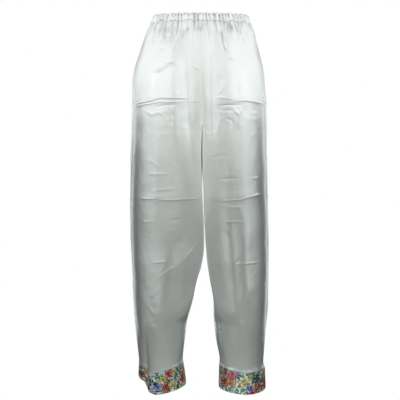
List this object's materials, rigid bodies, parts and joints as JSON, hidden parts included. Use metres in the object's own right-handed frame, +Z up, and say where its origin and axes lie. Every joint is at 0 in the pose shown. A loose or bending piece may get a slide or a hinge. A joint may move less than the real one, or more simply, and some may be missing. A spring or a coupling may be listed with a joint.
{
  "type": "pyjama trousers",
  "caption": "White satin pyjama trousers with a gathered elastic waist casing, full tapering legs and printed floral hem bands, filled out and hollow as worn.",
  "frame": {"origin": "centre of the waist casing, where the wearer's waist holds the trousers up", "axes": "+Z up out of the waist, along the legs' length; the front faces -Y; +X is the wearer's left side"},
  "size_m": [0.367, 0.262, 0.9999],
  "materials": {
    "satin": "white satin with a soft sheen",
    "casing_satin": "white satin, gathered over elastic",
    "printed_satin": "satin printed with small flowers in many colours"
  },
  "bodies": {
    "root": {"waist_casing": "casing_satin", "front_right": "satin", "back_right": "satin", "hem_band_right": "printed_satin", "front_left": "satin", "back_left": "satin", "hem_band_left": "printed_satin"}
  },
  "joints": []
}
